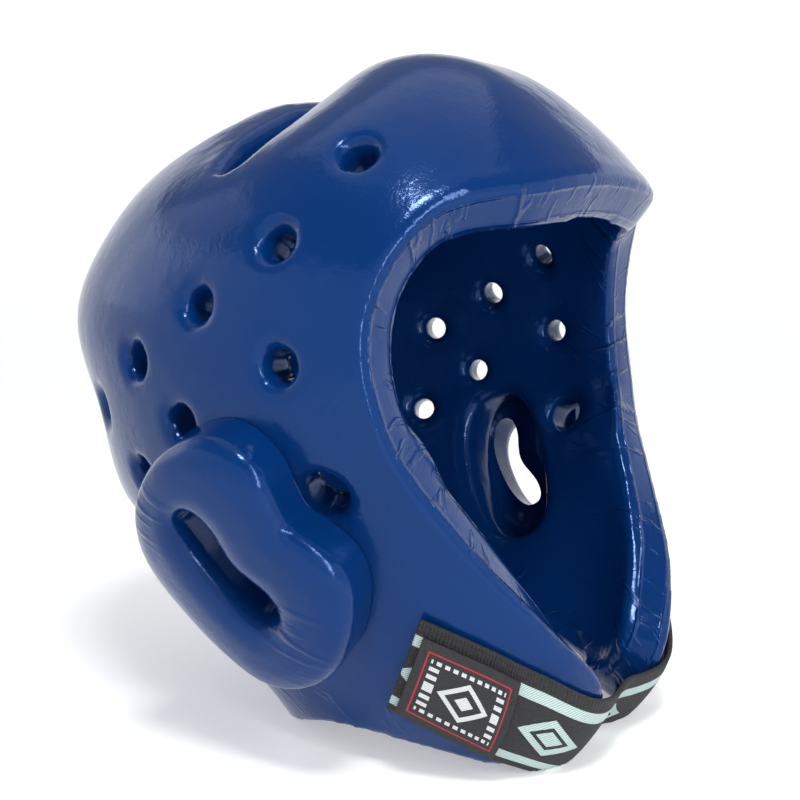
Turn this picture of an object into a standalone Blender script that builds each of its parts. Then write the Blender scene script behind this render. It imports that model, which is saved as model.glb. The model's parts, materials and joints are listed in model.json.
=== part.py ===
"""Kickboxing head guard of dipped foam, standing on its jaw flaps and its nape.

Everything is drawn in the worn frame: the origin is the middle of the head at ear level, the face
looks along -Y, the crown is +Z and the wearer's left is +X. One empty, worn_frame, leans the guard
back until jaw and nape touch the floor, and puts the middle of its footprint at the origin.
"""
import math

import bmesh
import bpy
import numpy as np
from mathutils import Matrix

# Driving sizes of the foam shell, in metres: how far its outer face lies from the middle of the head
CROWN_HEIGHT = 0.128
FRONT_REACH = 0.108
SIDE_REACH = 0.107
BACK_REACH = 0.122
FOAM = 0.020
RIM_ROUND = 0.004
SETTLE = 0.0028

# Round vents and crown slots
VENT_RADIUS = 0.0062
VENT_LIP = 0.0042
SLOT_WIDTH = 0.021
SLOT_LIP = 0.0050
SLOT_CORNER = 0.007
# Shares of a lip: how wide its cutter opens past it, and how far the cutter stands clear of the foam
LIP_FLARE = 1.9
PLUG_REACH = 3.0

# Ear pads, and the opening in the shell behind each of them. bend: share of the slot's width.
# centre: shares of PAD_SIZE backwards and upwards from the pad's middle
PAD_SIZE = 0.046
PAD_RISE = 0.020
PAD_GAP = 0.0006
PAD_POLAR = 106.0
PAD_TURN = 101.5
PAD_FACES_DOWN = 20.0
PAD_FACES_FORWARD = 3.0
EAR_SLOT_LENGTH = 0.046
EAR_SLOT_WIDTH = 0.016
EAR_SLOT_LEAN = 20.0
EAR_SLOT_BEND = 0.12
EAR_SLOT_CENTRE = (-0.055, 0.02)
EAR_OPENING_LENGTH = 0.068
EAR_OPENING_WIDTH = 0.034
EAR_OPENING_LEAN = 10.0
EAR_OPENING_CENTRE = (-0.17, -0.10)
EAR_LIP = 0.004

# Chin strap, its woven label and the patch at its other end. The margin is a share of the strap's width
STRAP_WIDTH = 0.041
STRAP_THICK = 0.0018
STRAP_CLEARANCE = 0.0014
LABEL_LENGTH = 0.045
LABEL_THICK = 0.0012
PATCH_LENGTH = 0.040
SEWN_MARGIN = 0.03
LAYER_GAP = 0.0006

# Outer face of the shell. polar: degrees from the crown. front, side, back: shares of the reach there
SECTIONS = [
    # polar, front, side, back
    (0, 1.000, 1.000, 1.000),
    (25, 1.120, 0.985, 1.135),
    (45, 1.087, 1.095, 1.180),
    (60, 1.073, 1.097, 1.210),
    (75, 1.066, 1.055, 1.055),
    (90, 1.000, 1.003, 1.015),
    (105, 0.949, 0.930, 0.930),
    (120, 0.929, 0.909, 0.906),
    (135, 0.966, 0.945, 0.936),
    (150, 1.048, 1.026, 0.996),
    (165, 1.062, 1.055, 1.045),
    (180, 1.030, 1.030, 1.030),
]
# How square a level section is: 2 is an ellipse
SQUARENESS = 2.25

# The rim on the wearer's left. turn: degrees from the face towards the left ear and the nape
RIM = [
    # turn, polar
    (0, 56),
    (26, 58),
    (50, 61),
    (63, 74),
    (64, 93),
    (55, 114),
    (40, 132),
    (23, 145),
    (24, 154),
    (45, 158),
    (77, 152),
    (108, 144),
    (146, 143),
    (180, 145),
]
# The half shell's mesh: rows start round this vent and end at the middle line and the rim
SHEET_START_VENT = 3
MIDDLE_COLUMNS = 18
RIM_COLUMNS = 30
SHEET_ROWS = 8

# Vents of one side. size: share of the vent radius
VENTS = [
    # polar, turn, size
    (47.4, 58.5, 1.00),
    (58.0, 76.0, 1.00),
    (63.5, 94.5, 1.00),
    (69.6, 113.0, 1.00),
    (75.5, 132.0, 1.00),
    (79.0, 153.0, 1.00),
    (76.4, 79.5, 1.00),
    (81.4, 104.0, 1.00),
    (88.5, 121.0, 1.00),
    (97.0, 141.0, 1.00),
    (99.6, 79.0, 1.35),
]
VENT_STEPS = 10
VENT_LIP_STEPS = 1
SLOT_LIP_STEPS = 2
SLOT_CORNER_STEPS = 5

# Crown slots of one side, in plan. lean: degrees behind straight sideways. The rest are shares of the
# reach that way. hub_y: how far behind the crown a slot's line starts. near, far: where the slot lies
# on that line. slant: how much its rear edge is shorter
SLOTS = [
    # name, lean, hub_y, near, far, slant
    ("side", 14.0, -0.093, 0.241, 0.760, 0.130),
    ("rear", 58.0, 0.017, 0.357, 0.790, 0.085),
]

# Outline of an ear pad: distance from its middle as a share of PAD_SIZE. angle: degrees from the
# back of the head, over the top
PAD_OUTLINE = [
    # angle, reach
    (0, 0.91),
    (30, 0.85),
    (60, 0.87),
    (90, 0.97),
    (118, 1.06),
    (138, 0.97),
    (151, 0.83),
    (163, 0.77),
    (174, 0.84),
    (190, 0.98),
    (220, 1.06),
    (250, 1.09),
    (275, 1.03),
    (300, 0.89),
    (330, 0.84),
]
# Section through the pad's ring. across: 0 at the ear slot, 1 at the outline. height: share of PAD_RISE
PAD_SECTION = [
    # across, height
    (0.00, 0.00),
    (0.00, 0.60),
    (0.09, 0.87),
    (0.28, 1.00),
    (0.68, 1.00),
    (0.93, 0.91),
    (1.00, 0.74),
    (1.00, 0.00),
    (0.50, 0.00),
]
PAD_COLUMNS = 36

# The strap from its end at the right jaw to its end at the left jaw. way: share of its length.
# pull: how far it is pulled in from the line of the shell, as a share of the distance there
STRAP_ROUTE = [
    # way, top_turn, top_polar, low_turn, low_polar, pull
    (0.00, -67.0, 125.0, -85.0, 141.5, 0.000),
    (0.12, -55.0, 131.5, -73.0, 150.0, 0.000),
    (0.25, -43.0, 138.0, -60.0, 157.0, 0.000),
    (0.37, -25.0, 145.5, -37.0, 167.5, 0.000),
    (0.43, -12.0, 149.0, -18.0, 169.5, 0.030),
    (0.50, 0.0, 150.0, 0.0, 171.0, 0.045),
    (0.57, 12.0, 149.5, 18.0, 170.0, 0.030),
    (0.63, 25.0, 147.0, 37.0, 167.5, 0.000),
    (0.75, 43.0, 139.5, 60.0, 158.0, 0.000),
    (0.88, 56.0, 131.0, 73.0, 149.0, 0.000),
    (1.00, 67.0, 124.0, 85.0, 140.5, 0.000),
]
STRAP_COLUMNS = 32
STRAP_ROWS = 4
LABEL_COLUMNS = 6

# Base colours, roughness
BLUE_VINYL = ((0.012, 0.058, 0.220), 0.22)
BLACK_WEBBING = ((0.012, 0.012, 0.014), 0.85)
BLACK_LABEL = ((0.010, 0.009, 0.011), 0.75)


def smooth(at, knots, values):
    """A smooth curve through the rows of a table, read at the given places."""
    at = np.asarray(at, float)
    knots = np.asarray(knots, float)
    values = np.asarray(values, float)
    slope = np.gradient(values, knots, axis=0)
    row = np.clip(np.searchsorted(knots, at, side="right") - 1, 0, len(knots) - 2)
    step = knots[row + 1] - knots[row]
    t = (at - knots[row]) / step
    if values.ndim > 1:
        step = step[..., None]
        t = t[..., None]
    start = (1 + 2 * t) * (1 - t) ** 2 * values[row] + t * (1 - t) ** 2 * step * slope[row]
    end = t * t * (3 - 2 * t) * values[row + 1] + t * t * (t - 1) * step * slope[row + 1]
    return start + end


def smooth_round(at, knots, values, period):
    """The same for a table that closes on itself."""
    knots = np.asarray(knots, float)
    values = np.asarray(values, float)
    knots = np.concatenate([knots[-3:] - period, knots, knots[:3] + period])
    values = np.concatenate([values[-3:], values, values[:3]])
    return smooth(np.mod(at, period), knots, values)


def unit(vectors):
    vectors = np.asarray(vectors, float)
    return vectors / np.linalg.norm(vectors, axis=-1, keepdims=True)


def direction(polar, turn):
    """The direction from the middle of the head, from degrees."""
    polar, turn = np.radians(polar), np.radians(turn)
    level = np.sin(polar)
    return np.stack([level * np.sin(turn), -level * np.cos(turn), np.cos(polar) + 0 * turn], -1)


def surface_distance(towards):
    """How far the shell's outer face lies from the middle of the head in these unit directions."""
    height = np.clip(towards[..., 2], -1, 1)
    table = np.array(SECTIONS)
    share = smooth(np.degrees(np.arccos(height)), table[:, 0], table[:, 1:])
    upright = height ** 2
    level = np.hypot(towards[..., 0], towards[..., 1]) + 1e-12
    reach = [CROWN_HEIGHT * upright + size * (1 - upright) for size in (FRONT_REACH, SIDE_REACH, BACK_REACH)]
    ahead = np.where(towards[..., 1] < 0, share[..., 0] * reach[0], share[..., 2] * reach[2])
    aside = share[..., 1] * reach[1]
    sum_of_powers = (np.abs(towards[..., 1]) / level / ahead) ** SQUARENESS
    sum_of_powers += (np.abs(towards[..., 0]) / level / aside) ** SQUARENESS
    return sum_of_powers ** (-1 / SQUARENESS)


def outer_point(towards, stand_off=0.0):
    """The point of the outer face in these directions, moved out by stand_off."""
    towards = unit(towards)
    return towards * (surface_distance(towards) + stand_off)[..., None]


def outer_normal(towards):
    """The outward normal of the outer face in one direction."""
    towards = unit(towards)
    aside = unit(np.cross(towards, (0.0, 1.0, 0.001)))
    along = np.cross(aside, towards)
    small = 0.01
    run_a = outer_point(towards + small * aside) - outer_point(towards - small * aside)
    run_b = outer_point(towards + small * along) - outer_point(towards - small * along)
    normal = unit(np.cross(run_a, run_b))
    return normal * np.sign(np.sum(normal * towards, axis=-1, keepdims=True))


def slide_to_shell(points, axis):
    """Points slid along an axis until they lie on the outer face."""
    points = np.array(points, float)
    for _ in range(25):
        away = np.linalg.norm(points, axis=-1)
        towards = points / away[..., None]
        excess = away - surface_distance(towards)
        points = points - (excess / (towards @ axis))[..., None] * axis
    return points


def rim_directions(shares):
    """Directions to the left rim, from the forehead at 0 round the jaw to the nape at 1."""
    table = np.array(RIM, float)
    left = direction(table[:, 1], table[:, 0])
    loop = np.concatenate([left, left[-2:0:-1] * (-1, 1, 1)])
    steps = np.linalg.norm(np.roll(loop, -1, axis=0) - loop, axis=1) ** 0.5
    knots = np.concatenate([[0.0], np.cumsum(steps)])
    fine = np.linspace(0, knots[len(left) - 1], 600)
    curve = unit(smooth_round(fine, knots[:-1], loop, knots[-1]))
    points = outer_point(curve)
    run = np.concatenate([[0.0], np.cumsum(np.linalg.norm(np.diff(points, axis=0), axis=1))])
    found = np.stack([np.interp(shares * run[-1], run, curve[:, i]) for i in range(3)], -1)
    return unit(found)


def strap_layer():
    """Room that the strap takes between the floor and the jaw flaps that stand on it."""
    return STRAP_THICK + 2 * LAYER_GAP


def standing_pose():
    """The backward lean and the lift at which the nape stands on the floor and the jaw on the strap."""
    rim = outer_point(rim_directions(np.linspace(0, 1, 400)))
    low, high = 0.0, math.radians(40)
    for _ in range(50):
        lean = (low + high) / 2
        back = rim[:, 1] * math.cos(lean) + rim[:, 2] * math.sin(lean)
        height = rim[:, 2] * math.cos(lean) - rim[:, 1] * math.sin(lean)
        jaw = height[back < 0].min() - strap_layer()
        nape = height[back >= 0].min()
        if nape > jaw:
            low = lean
        else:
            high = lean
    return lean, -nape - SETTLE


def principled(name, finish):
    material = bpy.data.materials.new(name)
    material.use_nodes = True
    shader = material.node_tree.nodes["Principled BSDF"]
    shader.inputs["Base Color"].default_value = (*finish[0], 1.0)
    shader.inputs["Roughness"].default_value = finish[1]
    shader.inputs["Metallic"].default_value = 0.0
    material.diffuse_color = (*finish[0], 1.0)
    return material


def new_object(name, bm, collection, parent):
    mesh = bpy.data.meshes.new(name)
    bm.to_mesh(mesh)
    bm.free()
    mesh.shade_smooth()
    made = bpy.data.objects.new(name, mesh)
    collection.objects.link(made)
    made.parent = parent
    return made


def loft(columns, rows, place):
    """A grid bent into shape: place(along, across) gives the points for shares of rows and columns.

    Edges that fall together are welded, so a loft can close round, and open ends are filled.
    """
    bm = bmesh.new()
    bmesh.ops.create_grid(bm, x_segments=columns, y_segments=rows, size=0.5)
    across = np.array([vert.co.x + 0.5 for vert in bm.verts])
    along = np.array([vert.co.y + 0.5 for vert in bm.verts])
    for vert, point in zip(bm.verts, place(along, across)):
        vert.co = point
    bmesh.ops.remove_doubles(bm, verts=bm.verts, dist=1e-6)
    return bm


def face_outwards(bm):
    """Turn the faces of an open sheet away from the middle of the head."""
    bm.normal_update()
    outward = sum(face.normal.dot(face.calc_center_median()) * face.calc_area() for face in bm.faces)
    if outward < 0:
        bmesh.ops.reverse_faces(bm, faces=bm.faces)


def close_ends(bm):
    bmesh.ops.holes_fill(bm, edges=bm.edges, sides=0)
    bmesh.ops.recalc_face_normals(bm, faces=bm.faces)


def hide_cutter(cutter):
    cutter.hide_render = True
    cutter.display_type = "WIRE"


def flare_rows(lip, steps):
    """Depth below the outer face and growth of a hole whose two lips are quarter rounds of lip."""
    turn = np.linspace(0, math.pi / 2, steps + 1)
    outer = [(lip * (1 - math.cos(t)), lip * (1 - math.sin(t))) for t in turn]
    inner = [(FOAM - depth, grow) for depth, grow in reversed(outer)]
    flare = LIP_FLARE * lip
    far = PLUG_REACH * lip
    return [(-far, flare), (-lip, flare)] + outer + inner + [(FOAM + lip, flare), (FOAM + far, flare)]


def half_shell_edge(across):
    """Directions round the edge of the left half: up the back, over the crown, then along the rim."""
    rim_start = MIDDLE_COLUMNS / (MIDDLE_COLUMNS + RIM_COLUMNS)
    nape, forehead = math.radians(RIM[-1][1]), math.radians(RIM[0][1])
    angle = -nape + (nape + forehead) * np.minimum(across / rim_start, 1.0)
    middle_line = np.stack([0 * angle, -np.sin(angle), np.cos(angle)], -1)
    rim = rim_directions(np.clip((across - rim_start) / (1 - rim_start), 0, 1))
    return np.where((across < rim_start)[:, None], middle_line, rim)


def shell_sheet_point(along, across):
    """Outer face of the shell's left half, in rows from one of its vents to the edge of the half."""
    start = direction(*VENTS[SHEET_START_VENT][:2])
    edge = half_shell_edge(across)
    angle = np.arccos(np.clip(edge @ start, -1, 1))[:, None]
    along = along[:, None]
    towards = (np.sin((1 - along) * angle) * start + np.sin(along * angle) * edge) / np.sin(angle)
    points = outer_point(towards)
    points[np.abs(points[:, 0]) < 1e-6, 0] = 0.0
    return points


def make_shell(collection, cutters, frame):
    bm = loft(MIDDLE_COLUMNS + RIM_COLUMNS, SHEET_ROWS, shell_sheet_point)
    face_outwards(bm)
    shell = new_object("foam_shell", bm, collection, frame)
    shell.data.materials.append(principled("foam_shell_vinyl", BLUE_VINYL))
    mirror = shell.modifiers.new("other half", "MIRROR")
    mirror.merge_threshold = 0.0001
    wall = shell.modifiers.new("foam wall", "SOLIDIFY")
    wall.thickness = FOAM
    wall.offset = -1
    edge = shell.modifiers.new("rounded rim", "BEVEL")
    edge.limit_method = "ANGLE"
    edge.angle_limit = math.radians(50)
    edge.width = RIM_ROUND
    edge.segments = 2
    holes = shell.modifiers.new("holes", "BOOLEAN")
    holes.operation = "DIFFERENCE"
    holes.operand_type = "COLLECTION"
    holes.collection = cutters
    return shell


def make_vent_cutters(cutters, frame):
    """A spool with flared ends stands at each vent, turned from its profile."""
    def spool(name, radius):
        rows = flare_rows(VENT_LIP, VENT_LIP_STEPS)
        profile = [(0.0, rows[0][0])] + [(radius + grow, depth) for depth, grow in rows] + [(0.0, rows[-1][0])]
        bm = bmesh.new()
        verts = [bm.verts.new((x, 0.0, -depth)) for x, depth in profile]
        for start, end in zip(verts, verts[1:]):
            bm.edges.new((start, end))
        cutter = new_object(name, bm, cutters, frame)
        turn = cutter.modifiers.new("turned", "SCREW")
        turn.steps = turn.render_steps = VENT_STEPS
        turn.use_merge_vertices = True
        turn.merge_threshold = 0.00001
        hide_cutter(cutter)
        return cutter

    for side, side_name in ((1, "left"), (-1, "right")):
        for number, (polar, turn, size) in enumerate(VENTS, 1):
            towards = direction(polar, side * turn)
            up = outer_normal(towards)
            aside = unit(np.cross(up, (0.0, 1.0, 0.0)))
            ahead = np.cross(up, aside)
            cutter = spool(f"vent_cutter_{side_name}_{number}", VENT_RADIUS * size)
            turned = Matrix(np.stack([aside, ahead, up], 1).tolist()).to_4x4()
            cutter.matrix_local = Matrix.Translation(outer_point(towards)) @ turned


def slot_outline(lean, hub_y, near, far, slant, side, grow):
    """Plan of a crown slot: a quadrilateral with rounded corners, its outer end cut slantwise."""
    lean = math.radians(lean)
    reach = SIDE_REACH * math.cos(lean) ** 2 + BACK_REACH * math.sin(lean) ** 2
    edge = SLOT_WIDTH / 2 - SLOT_CORNER
    inner = near * reach + SLOT_CORNER
    front_end, rear_end = far * reach - SLOT_CORNER, (far - slant) * reach - SLOT_CORNER
    cut = 360 + math.degrees(math.atan2(front_end - rear_end, 2 * edge))
    corners = [
        # out, aside, first angle, last angle
        (inner, -edge, 180, 270),
        (front_end, -edge, 270, cut),
        (rear_end, edge, cut, 450),
        (inner, edge, 90, 180),
    ]
    outline = []
    for out, aside, start, end in corners:
        for angle in np.radians(np.linspace(start, end, SLOT_CORNER_STEPS)):
            corner = SLOT_CORNER + grow
            outline.append((out + corner * math.cos(angle), aside + corner * math.sin(angle)))
    outline = np.array(outline)
    outward = np.array((math.cos(lean), math.sin(lean)))
    rearward = np.array((-math.sin(lean), math.cos(lean)))
    plan = outline[:, :1] * outward + outline[:, 1:] * rearward + (0.0, hub_y * reach)
    return plan * (side, 1)


def make_slot_cutters(cutters, frame):
    """A flared plug stands in each crown slot, square to the shell at the slot's middle."""
    up = np.array((0.0, 0.0, 1.0))
    rows = flare_rows(SLOT_LIP, SLOT_LIP_STEPS)
    for side, side_name in ((1, "left"), (-1, "right")):
        for name, *shape in SLOTS:
            def ring(depth, grow):
                plan = slot_outline(*shape, side, grow)
                start = np.column_stack([plan, np.full(len(plan), CROWN_HEIGHT)])
                return slide_to_shell(start, up) - depth * axis

            middle = np.append(slot_outline(*shape, side, 0).mean(axis=0), CROWN_HEIGHT)
            axis = outer_normal(slide_to_shell(middle[None], up))[0]
            rings = np.array([ring(depth, grow) for depth, grow in rows])

            def place(along, across):
                row = np.rint(along * (len(rows) - 1)).astype(int)
                column = np.rint(across * rings.shape[1]).astype(int) % rings.shape[1]
                return rings[row, column]

            bm = loft(rings.shape[1], len(rows) - 1, place)
            close_ends(bm)
            hide_cutter(new_object(f"slot_cutter_{side_name}_{name}", bm, cutters, frame))


def pad_axes(side):
    """Middle of an ear pad on the shell, and its axes: backwards, upwards and outwards."""
    down, ahead = math.radians(PAD_FACES_DOWN), math.radians(PAD_FACES_FORWARD)
    level = math.cos(down)
    outwards = np.array((side * level * math.cos(ahead), -level * math.sin(ahead), -math.sin(down)))
    backwards = unit(np.array((0.0, 1.0, 0.0)) - outwards[1] * outwards)
    upwards = side * np.cross(outwards, backwards)
    middle = outer_point(direction(PAD_POLAR, side * PAD_TURN))
    return middle, backwards, upwards, outwards


def on_pad(side, plan, height):
    """Points over an ear pad's plan, at heights above the shell measured along the pad's axis."""
    middle, backwards, upwards, outwards = pad_axes(side)
    points = middle + plan[:, :1] * backwards + plan[:, 1:] * upwards
    return slide_to_shell(points, outwards) + np.reshape(height, (-1, 1)) * outwards


def long_hole(share, length, width, lean, centre, bend=0.0, squareness=2.6):
    """A long rounded hole in the pad's plan, leaning back at its top and bent round the ear."""
    lean = math.radians(lean)
    angle = share * math.tau + lean
    power = 2 / squareness
    wide = width / 2 * np.sign(np.cos(angle)) * np.abs(np.cos(angle)) ** power
    tall = np.sign(np.sin(angle)) * np.abs(np.sin(angle)) ** power
    wide = wide + bend * (1 - tall ** 2)
    tall = tall * length / 2
    across = wide * math.cos(lean) + tall * math.sin(lean)
    upright = tall * math.cos(lean) - wide * math.sin(lean)
    return np.stack([across + centre[0] * PAD_SIZE, upright + centre[1] * PAD_SIZE], -1)


def pad_outline(share):
    table = np.array(PAD_OUTLINE, float)
    reach = smooth_round(share * 360, table[:, 0], table[:, 1], 360) * PAD_SIZE
    angle = share * math.tau
    return np.stack([reach * np.cos(angle), reach * np.sin(angle)], -1)


def ear_slot(share):
    bend = EAR_SLOT_BEND * EAR_SLOT_WIDTH
    return long_hole(share, EAR_SLOT_LENGTH, EAR_SLOT_WIDTH, EAR_SLOT_LEAN, EAR_SLOT_CENTRE, bend)


def make_ear_pad(side, name, collection, frame):
    """A bean-shaped ring glued on the shell round the ear, with a long slot to hear through."""
    section = np.array(PAD_SECTION)

    def place(along, across):
        row = np.rint(along * len(section)).astype(int) % len(section)
        share = np.rint(across * PAD_COLUMNS) % PAD_COLUMNS / PAD_COLUMNS
        blend = section[row, :1]
        plan = ear_slot(share) * (1 - blend) + pad_outline(share) * blend
        return on_pad(side, plan, section[row, 1] * PAD_RISE + PAD_GAP)

    bm = loft(PAD_COLUMNS, len(section), place)
    bmesh.ops.recalc_face_normals(bm, faces=bm.faces)
    pad = new_object(name, bm, collection, frame)
    pad.data.materials.append(principled(name + "_vinyl", BLUE_VINYL))
    return pad


def make_ear_cutters(cutters, frame):
    """The opening in the shell behind each ear pad, with a rounded lip on the inside."""
    rows = [(-PAD_RISE, 0.0), (FOAM - EAR_LIP, 0.0), (FOAM, 0.45 * EAR_LIP), (FOAM + 2 * EAR_LIP, 2 * EAR_LIP)]
    columns = 24
    for side, side_name in ((1, "left"), (-1, "right")):
        def place(along, across):
            row = np.rint(along * (len(rows) - 1)).astype(int)
            share = np.rint(across * columns) % columns / columns
            depth, grow = np.array(rows)[row].T
            plan = np.array([
                long_hole(s, EAR_OPENING_LENGTH + 2 * g, EAR_OPENING_WIDTH + 2 * g, EAR_OPENING_LEAN, EAR_OPENING_CENTRE)
                for s, g in zip(share, grow)])
            return on_pad(side, plan, -depth)

        bm = loft(columns, len(rows) - 1, place)
        close_ends(bm)
        hide_cutter(new_object(f"ear_cutter_{side_name}", bm, cutters, frame))


def make_floor_cutters(cutters):
    """What the guard stands on, which flattens its soft rim: the floor, and the strap under the jaw."""
    size = 1.0
    for name, ahead, top in (("floor_cutter", 0.0, 0.0), ("jaw_cutter", size / 2, strap_layer())):
        bpy.ops.mesh.primitive_cube_add(size=size, location=(0.0, -ahead, top - size / 2))
        floor = bpy.context.object
        floor.name = floor.data.name = name
        for collection in floor.users_collection:
            collection.objects.unlink(floor)
        cutters.objects.link(floor)
        hide_cutter(floor)


def to_rest(points, pose):
    """Height and place of worn-frame points in the standing pose, before the footprint is centred."""
    lean, lift = pose
    back = points[..., 1] * math.cos(lean) + points[..., 2] * math.sin(lean)
    height = points[..., 2] * math.cos(lean) - points[..., 1] * math.sin(lean) + lift
    return np.stack([points[..., 0], back, height], -1)


def to_worn(points, pose):
    lean, lift = pose
    height = points[..., 2] - lift
    ahead = points[..., 1] * math.cos(lean) - height * math.sin(lean)
    upright = height * math.cos(lean) + points[..., 1] * math.sin(lean)
    return np.stack([points[..., 0], ahead, upright], -1)


def strap_point(way, down, pose, stand_off=0.0):
    """The strap's middle surface: way runs from its right end to its left, down across its width.

    It lies round the jaw flaps, crosses the chin gap pulled straight, and folds under on the floor.
    """
    table = np.array(STRAP_ROUTE)
    row = smooth(way, table[:, 0], table[:, 1:])
    top = direction(row[:, 1], row[:, 0])
    low = direction(row[:, 3], row[:, 2])
    fine = np.linspace(0, 1.5, 40)
    towards = unit(top[:, None] * (1 - fine[:, None]) + low[:, None] * fine[:, None])
    distance = surface_distance(towards) * (1 - row[:, 4])[:, None]
    clearance = STRAP_CLEARANCE + STRAP_THICK / 2 + stand_off
    line = to_rest(towards * (distance + clearance)[..., None], pose)
    line[..., 2] = np.maximum(line[..., 2], STRAP_THICK / 2)
    steps = np.linalg.norm(np.diff(line, axis=1), axis=-1)
    run = np.concatenate([np.zeros((len(line), 1)), np.cumsum(steps, axis=1)], axis=1)
    found = [[np.interp(d * STRAP_WIDTH, r, l[:, i]) for i in range(3)] for d, r, l in zip(down, run, line)]
    return to_worn(np.array(found), pose)


def band(name, span, margin, thick, stand_off, finish, pose, collection, frame, columns):
    """A flat woven piece on the strap's route between two shares of its length, inside its edges."""
    def place(along, across):
        way = span[0] + across * (span[1] - span[0])
        return strap_point(way, margin + along * (1 - 2 * margin), pose, stand_off)

    bm = loft(columns, STRAP_ROWS, place)
    face_outwards(bm)
    made = new_object(name, bm, collection, frame)
    made.data.materials.append(principled(name + "_weave", finish))
    wall = made.modifiers.new("woven thickness", "SOLIDIFY")
    wall.thickness = thick
    wall.offset = 0
    return made


def strap_length(pose):
    way = np.linspace(0, 1, 200)
    middle = strap_point(way, np.full(200, 0.5), pose)
    return np.linalg.norm(np.diff(middle, axis=0), axis=1).sum()


def make_strap(pose, collection, frame):
    """The elastic chin strap, a woven label sewn over its right end and a patch over its left end."""
    length = strap_length(pose)
    band("chin_strap", (0, 1), 0, STRAP_THICK, 0, BLACK_WEBBING, pose, collection, frame, STRAP_COLUMNS)
    stand_off = STRAP_THICK / 2 + LAYER_GAP + LABEL_THICK / 2
    for name, span in (("woven_label", (0, LABEL_LENGTH / length)), ("end_patch", (1 - PATCH_LENGTH / length, 1))):
        band(name, span, SEWN_MARGIN, LABEL_THICK, stand_off, BLACK_LABEL, pose, collection, frame, LABEL_COLUMNS)


def centre_footprint(collection, frame):
    """Move the guard over the floor until the middle of its footprint is at the origin."""
    bpy.context.view_layer.update()
    graph = bpy.context.evaluated_depsgraph_get()
    corners = []
    for made in collection.objects:
        if made.type == "MESH":
            mesh = made.evaluated_get(graph).to_mesh()
            corners += [made.matrix_world @ vert.co for vert in mesh.vertices]
    corners = np.array(corners)
    middle = (corners.min(axis=0) + corners.max(axis=0)) / 2
    frame.location.x -= middle[0]
    frame.location.y -= middle[1]


def main():
    for old in list(bpy.data.objects):
        bpy.data.objects.remove(old, do_unlink=True)
    guard = bpy.data.collections.new("head_guard")
    cutters = bpy.data.collections.new("cutters")
    for collection in (guard, cutters):
        bpy.context.scene.collection.children.link(collection)

    lean, lift = standing_pose()
    frame = bpy.data.objects.new("worn_frame", None)
    guard.objects.link(frame)
    frame.rotation_euler.x = -lean
    frame.location.z = lift
    bpy.context.view_layer.update()

    make_vent_cutters(cutters, frame)
    make_slot_cutters(cutters, frame)
    make_ear_cutters(cutters, frame)
    make_floor_cutters(cutters)
    make_shell(guard, cutters, frame)
    make_ear_pad(-1, "ear_pad_right", guard, frame)
    make_ear_pad(1, "ear_pad_left", guard, frame)
    make_strap((lean, lift), guard, frame)
    centre_footprint(guard, frame)
    print(f"lean {math.degrees(lean):.2f} degrees, lift {lift * 1000:.1f} mm")


main()
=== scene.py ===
# %% [markdown]
# A kickboxing head guard is one thick shell of foam, dipped in liquid vinyl until it has a glossy blue
# skin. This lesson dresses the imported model: it loads the solids as a fixed frame, and makes each soft
# piece again with the roundness, folds and finish that the real one has.

# %% Load the frame
import json
import math

import bmesh
import bpy
import numpy as np
from mathutils import Matrix, Vector
from mathutils.kdtree import KDTree

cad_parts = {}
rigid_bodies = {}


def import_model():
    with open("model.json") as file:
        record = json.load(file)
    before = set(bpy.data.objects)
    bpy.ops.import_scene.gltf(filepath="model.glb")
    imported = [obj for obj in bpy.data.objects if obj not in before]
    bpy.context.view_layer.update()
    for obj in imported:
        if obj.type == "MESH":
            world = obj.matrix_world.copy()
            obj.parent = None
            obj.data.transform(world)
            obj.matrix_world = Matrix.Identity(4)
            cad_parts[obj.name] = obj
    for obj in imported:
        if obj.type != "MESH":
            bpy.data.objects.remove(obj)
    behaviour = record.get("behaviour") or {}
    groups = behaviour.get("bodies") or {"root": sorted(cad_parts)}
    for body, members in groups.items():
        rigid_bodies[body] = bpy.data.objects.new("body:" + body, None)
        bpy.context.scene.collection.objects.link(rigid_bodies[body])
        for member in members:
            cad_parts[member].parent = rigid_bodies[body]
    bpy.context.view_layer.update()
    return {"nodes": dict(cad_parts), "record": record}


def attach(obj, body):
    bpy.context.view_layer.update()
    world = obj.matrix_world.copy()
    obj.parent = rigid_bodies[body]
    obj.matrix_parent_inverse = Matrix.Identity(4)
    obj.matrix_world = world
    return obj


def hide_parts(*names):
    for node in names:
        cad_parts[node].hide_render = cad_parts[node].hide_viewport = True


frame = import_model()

scene = bpy.context.scene
print("solids:", ", ".join(sorted(frame["nodes"])))

# %% [markdown]
# The guard stands leaning back, but its form is easier to say as it is worn: the middle of the head at
# the origin, the face along -Y, the crown along +Z, and the wearer's left along +X. The record's mount
# called head holds both the middle of the head and the way it leaves, so the lean is read from there.

# %% The worn frame
head_mount = next(m for m in frame["record"]["mounts"] if m["name"] == "head")
HEAD_CENTRE = np.array(head_mount["pos_m"])
HEAD_UP = -np.array(head_mount["axis"])
LEAN = math.atan2(HEAD_UP[1], HEAD_UP[2])
WORN_AXES = np.array([
    (1.0, 0.0, 0.0),
    (0.0, math.cos(LEAN), -math.sin(LEAN)),
    (0.0, math.sin(LEAN), math.cos(LEAN)),
])


def to_row(points):
    """Worn-frame points in the row frame, which is the frame of the solids."""
    return np.asarray(points, float) @ WORN_AXES + HEAD_CENTRE


print(f"leans back {math.degrees(LEAN):.1f} degrees, middle of the head {HEAD_CENTRE[2] * 1000:.0f} mm up")

# %% [markdown]
# The outer face of the foam is a distance from the middle of the head in every direction. A short table
# gives it as shares of the reach to the front, the side and the back, from the crown down. Between its
# rows the shares follow a smooth curve, because a glossy skin shows every kink.

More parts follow.
